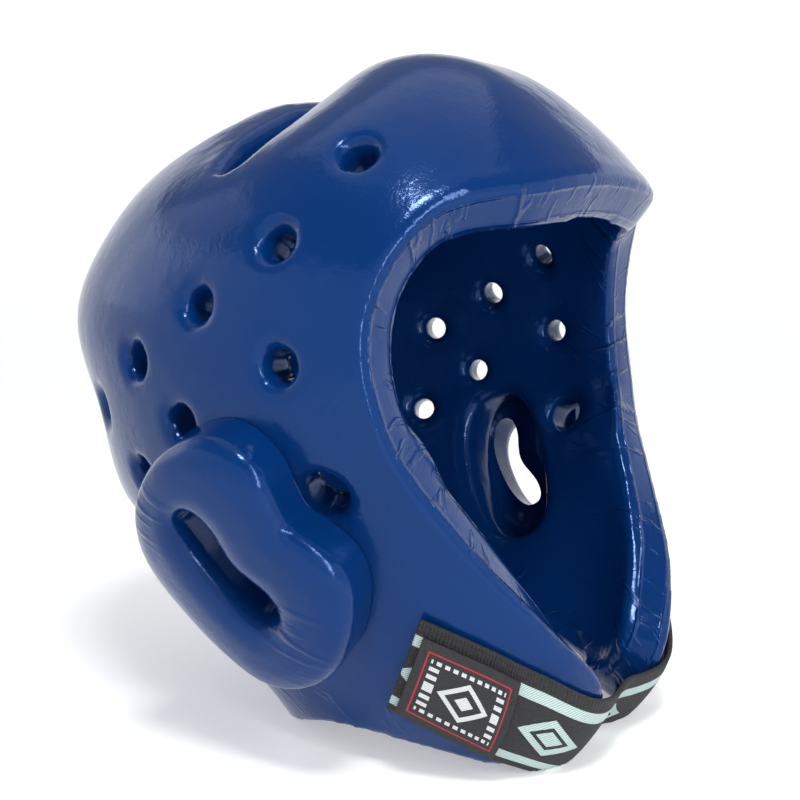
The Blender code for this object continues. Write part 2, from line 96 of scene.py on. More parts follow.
# %% The form of the shell
CROWN_HEIGHT = 0.128
FRONT_REACH = 0.108
SIDE_REACH = 0.107
BACK_REACH = 0.122
FOAM = 0.020
SQUARENESS = 2.25
SECTIONS = np.array([
    # polar angle, front, side, back
    (0, 1.000, 1.000, 1.000),
    (25, 1.120, 1.022, 1.135),
    (45, 1.087, 1.095, 1.180),
    (60, 1.073, 1.097, 1.210),
    (75, 1.066, 1.055, 1.055),
    (90, 1.000, 1.003, 1.015),
    (105, 0.949, 0.930, 0.930),
    (120, 0.929, 0.909, 0.906),
    (135, 0.966, 0.945, 0.936),
    (150, 1.048, 1.026, 0.996),
    (165, 1.062, 1.055, 1.045),
    (180, 1.030, 1.030, 1.030),
])


def smooth(at, knots, values):
    """A smooth curve through the rows of a table, read at the given places."""
    at = np.asarray(at, float)
    slope = np.gradient(values, knots, axis=0)
    row = np.clip(np.searchsorted(knots, at, side="right") - 1, 0, len(knots) - 2)
    step = knots[row + 1] - knots[row]
    t = (at - knots[row]) / step
    if values.ndim > 1:
        step = step[..., None]
        t = t[..., None]
    start = (1 + 2 * t) * (1 - t) ** 2 * values[row] + t * (1 - t) ** 2 * step * slope[row]
    end = t * t * (3 - 2 * t) * values[row + 1] + t * t * (t - 1) * step * slope[row + 1]
    return start + end


def smooth_round(at, knots, values, period):
    """The same for a table that closes on itself."""
    knots = np.concatenate([knots[-3:] - period, knots, knots[:3] + period])
    values = np.concatenate([values[-3:], values, values[:3]])
    return smooth(np.mod(at, period), knots, values)


def unit(vectors):
    return vectors / np.linalg.norm(vectors, axis=-1, keepdims=True)


def direction(polar, turn):
    """The direction from the middle of the head, from degrees below the crown and round from the face."""
    polar, turn = np.radians(polar), np.radians(turn)
    level = np.sin(polar)
    return np.stack([level * np.sin(turn), -level * np.cos(turn), np.cos(polar) + 0 * turn], -1)


def surface_distance(towards):
    """How far the outer face lies from the middle of the head in these unit directions."""
    height = np.clip(towards[..., 2], -1, 1)
    share = smooth(np.degrees(np.arccos(height)), SECTIONS[:, 0], SECTIONS[:, 1:])
    upright = height ** 2
    level = np.hypot(towards[..., 0], towards[..., 1]) + 1e-12
    front, side, back = (
        CROWN_HEIGHT * upright + reach * (1 - upright) for reach in (FRONT_REACH, SIDE_REACH, BACK_REACH)
    )
    ahead = np.where(towards[..., 1] < 0, share[..., 0] * front, share[..., 2] * back)
    aside = share[..., 1] * side
    powers = (np.abs(towards[..., 1]) / level / ahead) ** SQUARENESS
    powers += (np.abs(towards[..., 0]) / level / aside) ** SQUARENESS
    return powers ** (-1 / SQUARENESS)


def outer_point(towards):
    towards = unit(towards)
    return towards * surface_distance(towards)[..., None]


print(f"crown {CROWN_HEIGHT * 1000:.0f} mm above the middle of the head, foam {FOAM * 1000:.0f} mm")

# %% [markdown]
# Holes and pads need two more things from the form: which way it faces at a place, and where a line
# through a point meets it. The first comes from small steps on the face, the second from sliding a point
# along the line until it arrives.

# %% Normals and slides
NORMAL_STEP = 0.01
SLIDE_ROUNDS = 25


def outer_normal(towards):
    """The outward normal of the outer face in these directions."""
    towards = unit(towards)
    aside = unit(np.cross(towards, (0.0, 1.0, 0.001)))
    along = np.cross(aside, towards)
    run_a = outer_point(towards + NORMAL_STEP * aside) - outer_point(towards - NORMAL_STEP * aside)
    run_b = outer_point(towards + NORMAL_STEP * along) - outer_point(towards - NORMAL_STEP * along)
    normal = unit(np.cross(run_a, run_b))
    return normal * np.sign(np.sum(normal * towards, axis=-1, keepdims=True))


def slide_to_shell(points, axis):
    """Points slid along an axis until they lie on the outer face."""
    points = np.array(points, float)
    for _ in range(SLIDE_ROUNDS):
        away = np.linalg.norm(points, axis=-1)
        towards = points / away[..., None]
        points = points - ((away - surface_distance(towards)) / (towards @ axis))[..., None] * axis
    return points


print("brow faces", np.round(outer_normal(direction(60.0, 0.0)), 2), "as worn")

# %% [markdown]
# The rim is a closed line on that face: over the brow, down in front of the ear, along the jaw to its
# tip, back under the jaw, and round the nape. Only the left half is listed, since the right mirrors it.
# The foam is cut on a slant there, so its inner edge reaches further into the opening than its outer.

# %% The rim line
RIM = np.array([
    # turn from the face, polar angle, how far the inner edge reaches past the outer
    (0, 56, 0.0080), (26, 58, 0.0105), (50, 61, 0.0065), (63, 74, 0.0075), (64, 93, 0.0075),
    (55, 114, 0.0065), (40, 132, 0.0050), (23, 145, 0.0015), (24, 154, 0.0), (45, 158, 0.0),
    (77, 152, 0.0), (108, 144, 0.0), (146, 143, 0.0), (180, 145, 0.0),
], float)
CURVE_SAMPLES = 600


def rim_directions(shares):
    """Directions to the left rim, from the forehead at 0 round the jaw to the nape at 1."""
    left = direction(RIM[:, 1], RIM[:, 0])
    loop = np.concatenate([left, left[-2:0:-1] * (-1, 1, 1)])
    steps = np.linalg.norm(np.roll(loop, -1, axis=0) - loop, axis=1) ** 0.5
    knots = np.concatenate([[0.0], np.cumsum(steps)])
    places = np.linspace(0, knots[len(left) - 1], CURVE_SAMPLES)
    curve = unit(smooth_round(places, knots[:-1], loop, knots[-1]))
    run = np.concatenate([[0.0], np.cumsum(np.linalg.norm(np.diff(outer_point(curve), axis=0), axis=1))])
    return unit(np.stack([np.interp(shares * run[-1], run, curve[:, i]) for i in range(3)], -1))


rim_line = outer_point(rim_directions(np.linspace(0, 1, CURVE_SAMPLES)))
rim_length = 2 * np.linalg.norm(np.diff(rim_line, axis=0), axis=1).sum()
print(f"rim {rim_length * 1000:.0f} mm round")

# %% [markdown]
# Every soft piece here starts the same way: a flat grid from bmesh.ops.create_grid, bent into place by a
# function of how far along and across it each point lies. Edges that fall together are welded, so the
# grid can close round as a ring. It is a loft, without a list of vertices and faces. A grid that becomes
# cloth also gets its own UV map in metres, because a weave follows the cloth and not the space round it.

# %% Bend a grid into a piece
WELD = 1e-6


def bent_grid(columns, rows, place, cloth_size=None):
    """A grid bent by place(along, across). A cloth's size, along and across it, gives it a UV map."""
    bm = bmesh.new()
    bmesh.ops.create_grid(bm, x_segments=columns, y_segments=rows, size=0.5)
    if cloth_size is not None:
        layer = bm.loops.layers.uv.new("weave")
        for loop in (loop for face in bm.faces for loop in face.loops):
            x, y = loop.vert.co.x + 0.5, loop.vert.co.y + 0.5
            loop[layer].uv = (x * cloth_size[0], y * cloth_size[1])
    across = np.array([vert.co.x + 0.5 for vert in bm.verts])
    along = np.array([vert.co.y + 0.5 for vert in bm.verts])
    for vert, point in zip(bm.verts, place(along, across)):
        vert.co = point
    bmesh.ops.remove_doubles(bm, verts=bm.verts, dist=WELD)
    return bm


def new_piece(name, bm, shown=True):
    mesh = bpy.data.meshes.new(name)
    bm.to_mesh(mesh)
    bm.free()
    mesh.shade_smooth()
    piece = bpy.data.objects.new(name, mesh)
    if shown:
        scene.collection.objects.link(piece)
    return piece


def applied(piece):
    """The piece with its modifiers applied to its mesh."""
    bpy.context.view_layer.update()
    graph = bpy.context.evaluated_depsgraph_get()
    mesh = bpy.data.meshes.new_from_object(piece.evaluated_get(graph))
    piece.modifiers.clear()
    piece.data = mesh
    return piece


def points_of(mesh):
    flat = np.empty(len(mesh.vertices) * 3, np.float32)
    mesh.vertices.foreach_get("co", flat)
    return flat.reshape(-1, 3).astype(float)


def move_points(mesh, points):
    mesh.vertices.foreach_set("co", points.astype(np.float32).ravel())
    mesh.update()


# %% [markdown]
# The shell's outer skin is half a sheet that fans out from one vent behind the temple to the middle line
# and the rim. Mirrored and thickened inwards it has the foam's 20 mm wall. A sphere cut by the rim would
# leave ragged edges there, but a fan ends exactly on it.

# %% Sheet, mirror and wall
FAN_START = direction(69.6, 113.0)
MIDDLE_COLUMNS, RIM_COLUMNS, FAN_ROWS = 90, 150, 46
ON_MIDDLE_LINE = 1e-6
SEAM = 1e-5


def half_edge(across):
    """Directions round the edge of the left half: up the back, over the crown, then along the rim."""
    rim_start = MIDDLE_COLUMNS / (MIDDLE_COLUMNS + RIM_COLUMNS)
    nape, forehead = math.radians(RIM[-1, 1]), math.radians(RIM[0, 1])
    angle = -nape + (nape + forehead) * np.minimum(across / rim_start, 1.0)
    middle_line = np.stack([0 * angle, -np.sin(angle), np.cos(angle)], -1)
    rim = rim_directions(np.clip((across - rim_start) / (1 - rim_start), 0, 1))
    return np.where((across < rim_start)[:, None], middle_line, rim)


def half_sheet(along, across):
    """Points on the arcs from the fan's start to the edge of the left half."""
    edge = half_edge(across)
    angle = np.arccos(np.clip(edge @ FAN_START, -1, 1))[:, None]
    along = along[:, None]
    towards = (np.sin((1 - along) * angle) * FAN_START + np.sin(along * angle) * edge) / np.sin(angle)
    points = outer_point(towards)
    points[np.abs(points[:, 0]) < ON_MIDDLE_LINE, 0] = 0.0
    return points


sheet = bent_grid(MIDDLE_COLUMNS + RIM_COLUMNS, FAN_ROWS, half_sheet)
bmesh.ops.mirror(sheet, geom=sheet.verts[:] + sheet.edges[:] + sheet.faces[:], merge_dist=SEAM, axis="X")
bmesh.ops.recalc_face_normals(sheet, faces=sheet.faces)
if sum(face.normal.dot(face.calc_center_median()) for face in sheet.faces) < 0:
    bmesh.ops.reverse_faces(sheet, faces=sheet.faces)
shell = new_piece("foam_shell_skin", sheet)
wall = shell.modifiers.new("foam wall", "SOLIDIFY")
wall.thickness = FOAM
wall.offset = -1
applied(shell)
print("shell before its holes:", len(shell.data.vertices), "points")

# %% [markdown]
# Vents are cut by spools: a profile with a flared lip at both ends, spun round with bmesh.ops.spin. The
# dipped lips are soft, so the flare is a quarter round. A bevel after the cut would stumble over the many
# small edges there, but a flared cutter leaves the lip ready made. The spools sit square to the outer
# face, and the foam pinches them a little towards the inside.

# %% Vent cutters
VENT_RADIUS = 0.0062
VENT_LIP = 0.0044
VENT_PINCH = 0.0016
SPOOL_STEPS = 28
LIP_STEPS = 6
LIP_FLARE = 1.9
PLUG_REACH = 3.0
VENTS = [
    # polar angle, turn, share of the radius
    (47.4, 58.5, 1.00), (58.0, 76.0, 1.00), (63.5, 94.5, 1.00), (69.6, 113.0, 1.00),
    (75.5, 132.0, 1.00), (79.0, 153.0, 1.00), (76.4, 79.5, 1.00), (81.4, 104.0, 1.00),
    (88.5, 121.0, 1.00), (97.0, 141.0, 1.00), (99.6, 79.0, 1.35),
]
cutters = bpy.data.collections.new("cutters")


def flare(lip):
    """Depth below the outer face and growth of a hole with quarter-round lips at both faces."""
    turn = np.linspace(0, math.pi / 2, LIP_STEPS + 1)
    outer = [(lip * (1 - math.cos(t)), lip * (1 - math.sin(t))) for t in turn]
    inner = [(FOAM - depth, grow) for depth, grow in reversed(outer)]
    wide, far = LIP_FLARE * lip, PLUG_REACH * lip
    return [(-far, wide), (-lip, wide)] + outer + inner + [(FOAM + lip, wide), (FOAM + far, wide)]


def spun(profile, steps):
    """A profile of radius and height, spun once round the Z axis."""
    bm = bmesh.new()
    verts = [bm.verts.new((radius, 0.0, height)) for radius, height in profile]
    edges = [bm.edges.new(pair) for pair in zip(verts, verts[1:])]
    turn = dict(cent=(0, 0, 0), axis=(0, 0, 1), angle=math.tau, steps=steps, use_merge=True)
    bmesh.ops.spin(bm, geom=verts + edges, **turn)
    bmesh.ops.remove_doubles(bm, verts=bm.verts, dist=WELD)
    bmesh.ops.recalc_face_normals(bm, faces=bm.faces)
    return bm


def spool(radius):
    """The cutter of one vent, with the outer face at height 0."""
    sides = []
    for depth, grow in flare(VENT_LIP):
        pinch = VENT_PINCH * min(max(depth / FOAM, 0), 1)
        sides.append((radius + grow - pinch, -depth))
    return spun([(0.0, sides[0][1])] + sides + [(0.0, sides[-1][1])], SPOOL_STEPS)


def add_cutter(name, bm):
    cutters.objects.link(new_piece(name, bm, shown=False))


for side in (1, -1):
    for number, (polar, turn, size) in enumerate(VENTS, 1):
        towards = direction(polar, side * turn)
        up = outer_normal(towards)
        aside = unit(np.cross(up, (0.0, 1.0, 0.0)))
        bm = spool(VENT_RADIUS * size)
        place = Matrix(np.stack([aside, np.cross(up, aside), up], 1).tolist()).to_4x4()
        bmesh.ops.transform(bm, matrix=Matrix.Translation(outer_point(towards)) @ place, verts=bm.verts)
        add_cutter(f"vent_{side}_{number}", bm)

# %% [markdown]
# The crown has two slots a side, long rounded quadrilaterals whose outer end is cut slantwise. Each plug
# is a stack of rings of that outline through the wall, wide at both lips. The rings follow the curved
# outer face, so the lips are as soft at the ends of a slot as at its sides.

# %% Crown slot cutters
SLOT_WIDTH = 0.021
SLOT_LIP = 0.0034
SLOT_CORNER = 0.007
CORNER_STEPS = 12
SLOTS = [
    # name, lean, then shares of the reach that way: hub_y, near, far, slant
    ("side", 14.0, -0.093, 0.241, 0.760, 0.130),
    ("rear", 58.0, 0.017, 0.357, 0.790, 0.085),
]
UP = np.array((0.0, 0.0, 1.0))


def slot_outline(lean, hub_y, near, far, slant, side, grow):
    """Plan of a slot, from shares of the reach on its line. The slanted end joins its corners' arcs."""
    lean = math.radians(lean)
    reach = SIDE_REACH * math.cos(lean) ** 2 + BACK_REACH * math.sin(lean) ** 2
    edge, inner = SLOT_WIDTH / 2 - SLOT_CORNER, near * reach + SLOT_CORNER
    front_end, rear_end = far * reach - SLOT_CORNER, (far - slant) * reach - SLOT_CORNER
    cut = 360 + math.degrees(math.atan2(front_end - rear_end, 2 * edge))
    corners = [
        # out, aside, first angle, last angle
        (inner, -edge, 180, 270),
        (front_end, -edge, 270, cut),
        (rear_end, edge, cut, 450),
        (inner, edge, 90, 180),
    ]
    outline = []
    for out, aside, first, last in corners:
        for angle in np.radians(np.linspace(first, last, CORNER_STEPS)):
            corner = SLOT_CORNER + grow
            outline.append((out + corner * math.cos(angle), aside + corner * math.sin(angle)))
    outline = np.array(outline)
    outward = np.array((math.cos(lean), math.sin(lean)))
    rearward = np.array((-math.sin(lean), math.cos(lean)))
    return (outline[:, :1] * outward + outline[:, 1:] * rearward + (0.0, hub_y * reach)) * (side, 1)


def stacked(rings):
    """A closed plug through rings of points."""
    def place(along, across):
        row = np.rint(along * (len(rings) - 1)).astype(int)
        return rings[row, np.rint(across * rings.shape[1]).astype(int) % rings.shape[1]]

    bm = bent_grid(rings.shape[1], len(rings) - 1, place)
    bmesh.ops.holes_fill(bm, edges=bm.edges, sides=0)
    bmesh.ops.recalc_face_normals(bm, faces=bm.faces)
    return bm


for side in (1, -1):
    for name, *shape in SLOTS:
        middle = np.append(slot_outline(*shape, side, 0).mean(axis=0), CROWN_HEIGHT)
        axis = outer_normal(slide_to_shell(middle[None], UP))[0]
        rings = []
        for depth, grow in flare(SLOT_LIP):
            plan = slot_outline(*shape, side, grow)
            start = np.column_stack([plan, np.full(len(plan), CROWN_HEIGHT)])
            rings.append(slide_to_shell(start, UP) - depth * axis)
        add_cutter(f"slot_{side}_{name}", stacked(np.array(rings)))

# %% [markdown]
# Round each ear a raised pad is glued on, and the shell behind it is open. Pad and opening are both drawn
# in the pad's own plan, which faces sideways and 20 degrees down. The opening is hidden outside by the
# pad, so only its inner edge gets a lip.

# %% Ear opening cutters
PAD_SIZE = 0.046
PAD_RISE = 0.020
PAD_POLAR, PAD_TURN = 106.0, 101.5
PAD_FACES_DOWN, PAD_FACES_FORWARD = 20.0, 3.0
EAR_OPENING = dict(length=0.068, width=0.034, lean=10.0, centre=(-0.17 * PAD_SIZE, -0.10 * PAD_SIZE))
EAR_LIP = 0.005
EAR_SHARES = np.arange(64) / 64
HOLE_SQUARENESS = 2.6


def pad_axes(side):
    """Middle of an ear pad on the shell, and its axes: backwards, upwards and outwards."""
    down, ahead = math.radians(PAD_FACES_DOWN), math.radians(PAD_FACES_FORWARD)
    level = math.cos(down)
    outwards = np.array((side * level * math.cos(ahead), -level * math.sin(ahead), -math.sin(down)))
    backwards = unit(np.array((0.0, 1.0, 0.0)) - outwards[1] * outwards)
    upwards = side * np.cross(outwards, backwards)
    return outer_point(direction(PAD_POLAR, side * PAD_TURN)), backwards, upwards, outwards


def on_pad(side, plan, height):
    """Places in a pad's plan, at a height above the shell."""
    middle, backwards, upwards, outwards = pad_axes(side)
    points = middle + plan[:, :1] * backwards + plan[:, 1:] * upwards
    return slide_to_shell(points, outwards) + np.reshape(height, (-1, 1)) * outwards


def long_hole(share, length, width, lean, centre, bend=0.0, waist=0.0):
    """A long rounded hole in the pad's plan: it leans, bends round the ear and has a waist in front."""
    lean = math.radians(lean)
    angle = share * math.tau + lean
    power = 2 / HOLE_SQUARENESS
    tall = np.sign(np.sin(angle)) * np.abs(np.sin(angle)) ** power
    wide = width / 2 * np.sign(np.cos(angle)) * np.abs(np.cos(angle)) ** power
    wide = wide + np.where(wide < 0, waist, 0) * np.exp(-(2 * tall) ** 2) + bend * (1 - tall ** 2)
    tall = tall * length / 2
    across = wide * math.cos(lean) + tall * math.sin(lean)
    return np.stack([across + centre[0], tall * math.cos(lean) - wide * math.sin(lean) + centre[1]], -1)


def ear_ring(side, grow, height):
    """The outline of an ear opening, grown all round, at a height above the shell."""
    length, width = EAR_OPENING["length"] + 2 * grow, EAR_OPENING["width"] + 2 * grow
    return on_pad(side, long_hole(EAR_SHARES, **dict(EAR_OPENING, length=length, width=width)), height)


for side in (1, -1):
    rings = [ear_ring(side, 0.0, PAD_RISE)]
    for turn in np.linspace(0, math.pi / 2, LIP_STEPS + 1):
        depth = FOAM - EAR_LIP + EAR_LIP * math.sin(turn)
        rings.append(ear_ring(side, EAR_LIP * (1 - math.cos(turn)), -depth))
    rings.append(ear_ring(side, 3 * EAR_LIP, -(FOAM + 2 * EAR_LIP)))
    add_cutter(f"ear_{side}", stacked(np.array(rings)))

# %% [markdown]
# The guard stands on its nape and, in front, on the strap folded under its jaw flaps. Its soft rim is
# pressed flat there, as in the solids, so two large blocks take off what lies below.

# %% Floor cutters
STRAP_THICK = 0.0018
LAYER_GAP = 0.0006
STRAP_LAYER = STRAP_THICK + 2 * LAYER_GAP
to_worn_matrix = (Matrix.Translation(HEAD_CENTRE) @ Matrix(WORN_AXES.T.tolist()).to_4x4()).inverted()
for name, ahead, top in (("floor", 0.0, 0.0), ("jaw", 0.5, STRAP_LAYER)):
    bm = bmesh.new()
    bmesh.ops.create_cube(bm, size=1.0, matrix=to_worn_matrix @ Matrix.Translation((0, -ahead, top - 0.5)))
    add_cutter(name, bm)

# %% [markdown]
# One Boolean takes out all the cutters. A voxel remesh then gives the shell an even skin of small quads,
# and smoothing rounds every edge a little, as the dip does. A Subdivision Surface would need a clean cage
# round nearly thirty holes, which takes far longer to draw than this.

# %% Cut, remesh and smooth
VOXEL = 0.0018
SMOOTHING = 0.5
SKIN_ROUNDS = 3


def smoothed(piece, rounds, chosen=None):
    """Smooth the points that are chosen, all of them if none are named."""
    bm = bmesh.new()
    bm.from_mesh(piece.data)
    bm.verts.ensure_lookup_table()
    verts = bm.verts[:] if chosen is None else [bm.verts[i] for i in np.flatnonzero(chosen)]
    every_way = dict(use_axis_x=True, use_axis_y=True, use_axis_z=True)
    for _ in range(rounds):
        bmesh.ops.smooth_vert(bm, verts=verts, factor=SMOOTHING, **every_way)
    bm.to_mesh(piece.data)
    bm.free()


holes = shell.modifiers.new("holes", "BOOLEAN")
holes.operation = "DIFFERENCE"
holes.operand_type = "COLLECTION"
holes.collection = cutters
applied(shell)
even_skin = shell.modifiers.new("even skin", "REMESH")
even_skin.mode = "VOXEL"
even_skin.voxel_size = VOXEL
applied(shell)
smoothed(shell, SKIN_ROUNDS)
for cutter in list(cutters.objects):
    bpy.data.objects.remove(cutter)
print("shell skin:", len(shell.data.vertices), "points")

# %% [markdown]
# The rim has a flat face between two soft shoulders, a small one outside and a larger one inside. To
# shape it, each point near the rim is measured in the rim's own axes: along, how far round the rim it
# lies, inset, how far from the rim's face, and depth, how far below the outer face.

# %% Axes of the rim
RIM_SAMPLES = 900
MIRRORED = np.array((-1, 1, 1))
left_rim = outer_point(rim_directions(np.linspace(0, 1, RIM_SAMPLES)))
left_along = unit(np.gradient(left_rim, axis=0))
left_inset = unit(np.cross(unit(left_rim), left_along))
left_inset *= np.sign(np.sum(left_inset * (FAN_START - unit(left_rim)), axis=1, keepdims=True))
rim_points = np.concatenate([left_rim, left_rim[::-1] * MIRRORED])
rim_inset = np.concatenate([left_inset, left_inset[::-1] * MIRRORED])


def nearest_rim(points):
    """For each point, the sample of the rim line that it lies beside, whatever its depth."""
    tree = KDTree(len(rim_points))
    for i, towards in enumerate(unit(rim_points)):
        tree.insert(towards, i)
    tree.balance()
    return np.array([tree.find(towards)[1] for towards in unit(points)])


def rim_axes(points):
    """The rim sample beside each point, and the point's inset and depth."""
    beside = nearest_rim(points)
    offset = points - rim_points[beside]
    depth = -np.sum(offset * unit(rim_points[beside]), axis=1)
    return beside, np.sum(offset * rim_inset[beside], axis=1), depth


RIM_ROWS = nearest_rim(direction(RIM[:, 1], RIM[:, 0]))
RIM_ROWS[-1] = RIM_SAMPLES - 1
left_lean = np.interp(np.arange(RIM_SAMPLES), RIM_ROWS, RIM[:, 2])
rim_lean = np.concatenate([left_lean, left_lean[::-1]])
left_run = np.concatenate([[0.0], np.cumsum(np.linalg.norm(np.diff(left_rim, axis=0), axis=1))])
rim_run = np.concatenate([left_run, -left_run[::-1]])
axes = rim_axes(points_of(shell.data))
print("points within a wall of the rim's face:", int((axes[1] < FOAM).sum()))

# %% [markdown]
# A point in a square corner of the rim moves to a quarter round, and the rim's face leans. Points further
# off that the remesh left a little off the form go back exactly on it, so that reflections run clean over
# the shell. The rim keeps its measures in two UV maps, because its folds will follow it.

# %% Rim shoulders and true outer face
OUTER_SHOULDER, INNER_SHOULDER = 0.0036, 0.0060
CORNER_SLACK = 0.002
LIP_SWELL, SWELL_FADE = 0.0013, 0.012
LEAN_FADE = 0.030
TRUE_WITHIN = 0.0007
SEEN_TO_MOVE = 0.0005
SHOULDER_ROUNDS = 2
INSIDE_ROUNDS, INSIDE_REACH, INSIDE_DEPTH = 7, 0.015, 0.008
CROWN_ROUNDS, CROWN_MIDDLE = 40, 11.0


def rounded_corner(inset, depth, radius):
    """Shift of points in a square corner, as inset and depth, that makes it a quarter round."""
    corner = np.stack([inset, depth], 1)
    to_middle = radius - corner
    square = (to_middle.min(axis=1) > 0) & (corner.min(axis=1) > -CORNER_SLACK)
    away = np.linalg.norm(to_middle, axis=1)
    return to_middle * np.where(square & (away > radius), 1 - radius / np.maximum(away, 1e-9), 0)[:, None]


def shape_rim(mesh, axes):
    """Round the rim's shoulders, lean its face and swell its lip. Returns how many points moved."""
    beside, inset, depth = axes
    outer = rounded_corner(inset, depth, OUTER_SHOULDER)
    inner = rounded_corner(inset, FOAM - depth, INNER_SHOULDER)
    down = np.clip(depth / FOAM, 0, 1)
    fade = np.clip(1 - inset / LEAN_FADE, 0, 1) ** 2
    inwards = outer[:, 0] + inner[:, 0] - rim_lean[beside] * down * fade
    swell = LIP_SWELL * np.clip(1 - inset / SWELL_FADE, 0, 1) ** 2 * np.clip(1 - 2 * down, 0, 1)
    deeper = outer[:, 1] - inner[:, 1] - swell
    shift = inwards[:, None] * rim_inset[beside] - deeper[:, None] * unit(rim_points[beside])
    move_points(mesh, points_of(mesh) + shift)
    return int((np.linalg.norm(shift, axis=1) > SEEN_TO_MOVE).sum())


def on_true_face(mesh, inset):
    """Put the points that nearly lie on the outer face exactly on it. Returns how many do."""
    points = points_of(mesh)
    away = np.linalg.norm(points, axis=1)
    towards = points / away[:, None]
    excess = away - surface_distance(towards)
    kept = np.clip(np.abs(excess) / TRUE_WITHIN, 0, 1)
    kept = kept * kept * (3 - 2 * kept)
    clear_of_rim = np.clip(inset / OUTER_SHOULDER - 1, 0, 1)
    shift = excess * (1 - kept) * clear_of_rim
    move_points(mesh, points - shift[:, None] * towards)
    return int((kept < 1).sum())


def give_uv(mesh, name, u, v):
    """A UV map from two values at each point, in metres."""
    corners = np.empty(len(mesh.loops), np.int32)
    mesh.loops.foreach_get("vertex_index", corners)
    layer = mesh.uv_layers.new(name=name)
    layer.data.foreach_set("uv", np.stack([u[corners], v[corners]], 1).astype(np.float32).ravel())


print(on_true_face(shell.data, axes[1]), "points lie on the outer face")
print(shape_rim(shell.data, axes), "points moved at the rim")
smoothed(shell, SHOULDER_ROUNDS)
smoothed(shell, INSIDE_ROUNDS, (axes[1] < INSIDE_REACH) & (axes[2] > INSIDE_DEPTH))
crown_middle = unit(points_of(shell.data))[:, 2] > math.cos(math.radians(CROWN_MIDDLE))
smoothed(shell, CROWN_ROUNDS, crown_middle)
give_uv(shell.data, "rim", rim_run[axes[0]], axes[2])
give_uv(shell.data, "rim inset", axes[1], axes[1])

# %% [markdown]
# Finally the shell is turned into the frame of the solids. Smoothing may leave a point a hair below the
# floor, so it is lifted back on.

# %% Into the row frame
def into_row(piece):
    points = to_row(points_of(piece.data))
    points[:, 2] = np.maximum(points[:, 2], 0.0)
    move_points(piece.data, points)


into_row(shell)
shell.data.shade_smooth()
print(f"shell stands {points_of(shell.data)[:, 2].max() * 1000:.0f} mm tall")

# %% [markdown]
# An ear pad is a ring with a bean outline and a long slot. Its section is a table too: up the slot's wall,
# over a rolled edge, a crown that is nearly flat, a soft shoulder, and straight down to the shell. The
# outline and the slot blend across the ring, so a bent grid makes it in one go.

# %% Ear pads
PAD_OUTLINE = np.array([
    # angle from the back over the top, reach as a share of PAD_SIZE
    (0, 0.91), (30, 0.85), (60, 0.87), (90, 0.97), (118, 1.06), (138, 0.97), (151, 0.83), (163, 0.77),
    (174, 0.84), (190, 0.98), (220, 1.06), (250, 1.09), (275, 1.03), (300, 0.89), (330, 0.84),
])
PAD_SECTION = np.array([
    # way from the slot to the outline, height as a share of PAD_RISE
    (0.00, 0.00), (0.00, 0.35), (0.02, 0.66), (0.12, 0.90), (0.30, 1.00), (0.52, 1.01),
    (0.74, 0.98), (0.90, 0.90), (0.985, 0.75), (1.00, 0.52), (1.00, 0.22), (1.00, 0.00),
])
EAR_SLOT = dict(
    length=0.046,
    width=0.016,
    lean=20.0,
    centre=(-0.055 * PAD_SIZE, 0.02 * PAD_SIZE),
    bend=0.0019,
    waist=0.0045,
)
PAD_GAP = 0.0002
PAD_COLUMNS, PAD_ROWS = 144, 64


def pad_outline(share):
    reach = smooth_round(share * 360, PAD_OUTLINE[:, 0], PAD_OUTLINE[:, 1], 360) * PAD_SIZE
    return np.stack([reach * np.cos(share * math.tau), reach * np.sin(share * math.tau)], -1)


def ear_pad(side, name):
    knots = np.concatenate([[0], np.cumsum(np.linalg.norm(np.diff(PAD_SECTION, axis=0), axis=1))])

    def place(along, across):
        section = smooth(along * knots[-1], knots, PAD_SECTION)
        share = np.rint(across * PAD_COLUMNS) % PAD_COLUMNS / PAD_COLUMNS
        blend = np.clip(section[:, :1], 0, 1)
        plan = long_hole(share, **EAR_SLOT) * (1 - blend) + pad_outline(share) * blend
        return on_pad(side, plan, np.maximum(section[:, 1], 0) * PAD_RISE + PAD_GAP)

    bm = bent_grid(PAD_COLUMNS, PAD_ROWS, place)
    rims = [edge for edge in bm.edges if edge.is_boundary]
    bmesh.ops.bridge_loops(bm, edges=rims)
    bmesh.ops.recalc_face_normals(bm, faces=bm.faces)
    piece = new_piece(name, bm)
    into_row(piece)
    return piece


pad_right = ear_pad(-1, "ear_pad_right_skin")
pad_left = ear_pad(1, "ear_pad_left_skin")
print("ear pads:", len(pad_right.data.vertices), "points each")

# %% [markdown]
# The chin strap runs from the right jaw under the chin to the left jaw. Its route is a table of where its
# upper and lower lines meet the shell, pulled in at the chin gap. Across its width it is a woven elastic
# that folds under on the floor. A cloth simulation would find much the same fold, but this strap is held
# taut and sewn down, so the two lines already say where it goes.

# %% Strap route
STRAP_WIDTH = 0.041
STRAP_CLEARANCE = 0.0014
LOW_LINE_REACH = 1.5
ACROSS_SAMPLES, LENGTH_SAMPLES = 40, 200
STRAP_ROUTE = np.array([
    # way, top_turn, top_polar, low_turn, low_polar, pull
    (0.00, -67.0, 125.0, -85.0, 141.5, 0.000),
    (0.12, -55.0, 131.5, -73.0, 150.0, 0.000),
    (0.25, -43.0, 138.0, -60.0, 157.0, 0.000),
    (0.37, -25.0, 145.5, -37.0, 167.5, 0.000),
    (0.43, -12.0, 149.0, -18.0, 169.5, 0.030),
    (0.50, 0.0, 150.0, 0.0, 171.0, 0.045),
    (0.57, 12.0, 149.5, 18.0, 170.0, 0.030),
    (0.63, 25.0, 147.0, 37.0, 167.5, 0.000),
    (0.75, 43.0, 139.5, 60.0, 158.0, 0.000),
    (0.88, 56.0, 131.0, 73.0, 149.0, 0.000),
    (1.00, 67.0, 124.0, 85.0, 140.5, 0.000),
])


